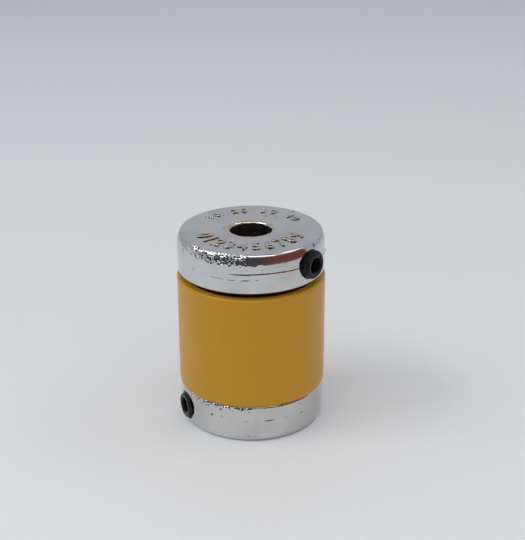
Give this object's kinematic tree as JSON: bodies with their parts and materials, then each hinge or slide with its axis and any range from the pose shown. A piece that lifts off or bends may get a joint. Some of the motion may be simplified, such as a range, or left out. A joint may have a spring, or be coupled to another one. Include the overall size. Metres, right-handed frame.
{
  "type": "bellows coupling",
  "caption": "Small shaft coupling: two chromed clamp hubs with set screws, joined by a metal bellows inside a mustard-coloured plastic sleeve.",
  "frame": {"origin": "centre of the lower hub's end face, on the coupling's axis", "axes": "+Z along the coupling's axis, from the lower hub to the upper one; -Y midway between the two set screws"},
  "size_m": [0.0252, 0.0252, 0.034],
  "materials": {
    "plated_casting": "bright chrome plate over a zinc die casting, a little pitted",
    "black_steel": "black oxide, lightly oiled",
    "mustard_plastic": "smooth moulded, semi-gloss",
    "bellows_steel": "bright drawn stainless steel"
  },
  "bodies": {
    "lower_end": {"lower_hub": "plated_casting", "lower_set_screw": "black_steel", "sleeve": "mustard_plastic"},
    "bellows_middle": {"bellows": "bellows_steel"},
    "upper_end": {"upper_hub": "plated_casting", "upper_set_screw": "black_steel"}
  },
  "joints": [
    {"name": "bend_x", "type": "hinge", "parent": "lower_end", "child": "bellows_middle", "pos_m": [0, 0, 0.017], "axis": [1, 0, 0], "range_deg": [-2, 2], "stiffness_Nm_per_rad": 0.8, "deforming": ["bellows"]},
    {"name": "bend_y", "type": "hinge", "parent": "bellows_middle", "child": "upper_end", "pos_m": [0, 0, 0.017], "axis": [0, 1, 0], "range_deg": [-2, 2], "stiffness_Nm_per_rad": 0.8, "deforming": ["bellows"]}
  ]
}
